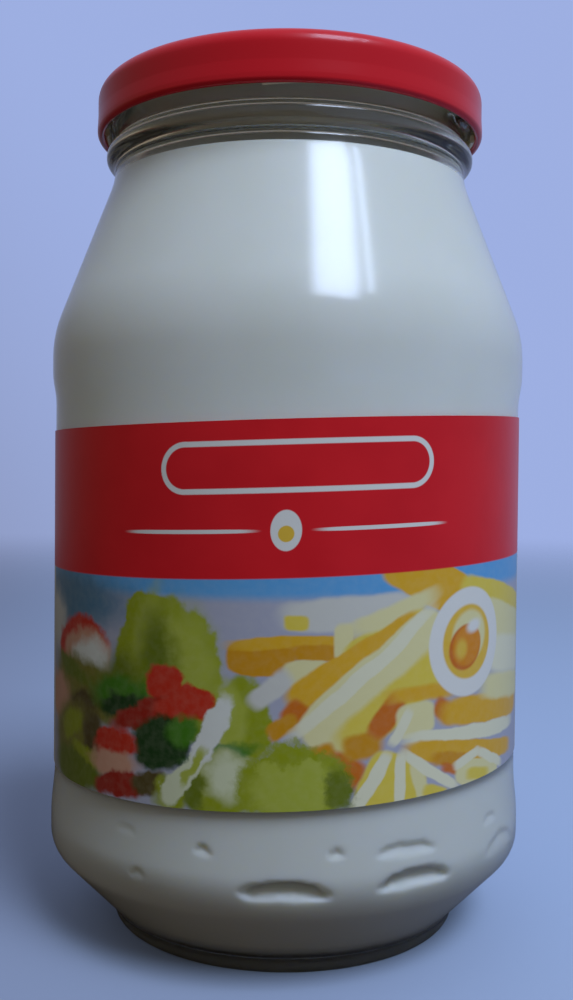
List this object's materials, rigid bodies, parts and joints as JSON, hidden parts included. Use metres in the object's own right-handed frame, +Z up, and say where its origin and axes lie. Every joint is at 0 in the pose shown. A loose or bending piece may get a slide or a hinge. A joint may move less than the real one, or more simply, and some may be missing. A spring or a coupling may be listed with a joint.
{
  "type": "mayonnaise jar",
  "caption": "Round glass food jar with a sloping shoulder, filled with pale mayonnaise, closed by a red twist-off cap and wrapped in a printed picture label.",
  "frame": {"origin": "centre of the foot, on the surface the jar stands on", "axes": "+Z up along the jar's axis, the front of the label faces -Y, +X to the right of someone facing the front"},
  "size_m": [0.0837, 0.0836, 0.1465],
  "materials": {
    "clear_glass": "clear, polished, with a faint cool tint",
    "mayonnaise": "smooth pale cream with a wet sheen",
    "red_lacquered_steel": "red gloss lacquer on thin sheet steel",
    "printed_paper": "glossy coated paper, red band over a picture of salad and fries"
  },
  "bodies": {
    "root": {"jar": "clear_glass", "mayonnaise": "mayonnaise", "lid": "red_lacquered_steel", "label": "printed_paper"}
  },
  "joints": []
}
